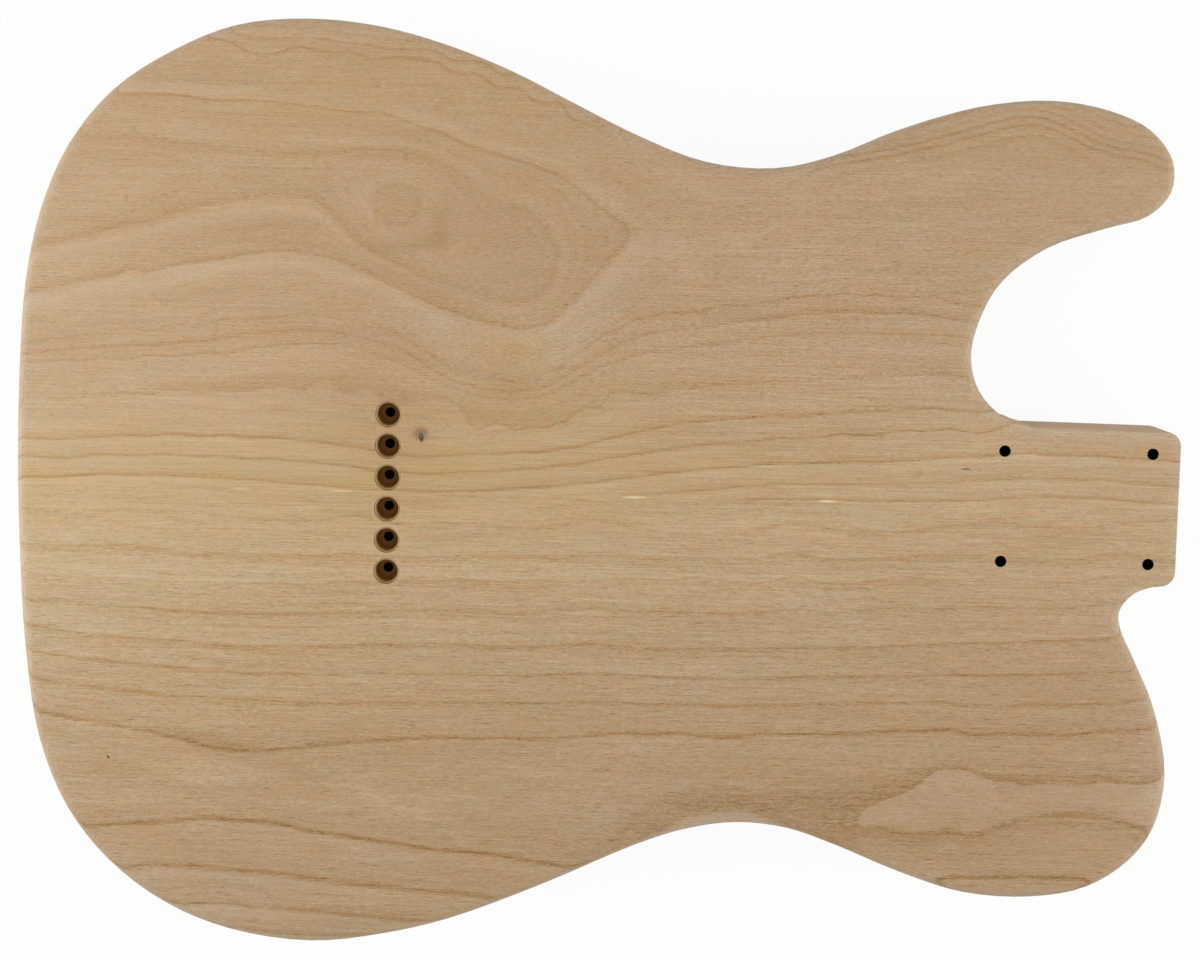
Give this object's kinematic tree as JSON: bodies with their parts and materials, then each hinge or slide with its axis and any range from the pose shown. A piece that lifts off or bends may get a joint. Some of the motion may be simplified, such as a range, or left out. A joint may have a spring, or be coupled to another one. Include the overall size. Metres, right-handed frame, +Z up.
{
  "type": "electric guitar body",
  "caption": "Bare solid single-cutaway electric guitar body, two edge-glued boards with a bolt-on neck pocket, pickup and control routs and string-through holes.",
  "frame": {"origin": "on the front face, where the glue line crosses the row of string holes, in the middle of the bridge seat", "axes": "+X along the centreline to the neck end, +Y to the treble side with the cutaway, +Z up to the back face; the body lies on its front"},
  "size_m": [0.3986, 0.3182, 0.0444],
  "materials": {
    "treble_board_wood": "sanded, unfinished",
    "bass_board_wood": "sanded, unfinished",
    "wood_glue": "cured, sanded flush"
  },
  "bodies": {
    "root": {"treble_board": "treble_board_wood", "bass_board": "bass_board_wood", "glue_line": "wood_glue"}
  },
  "joints": []
}
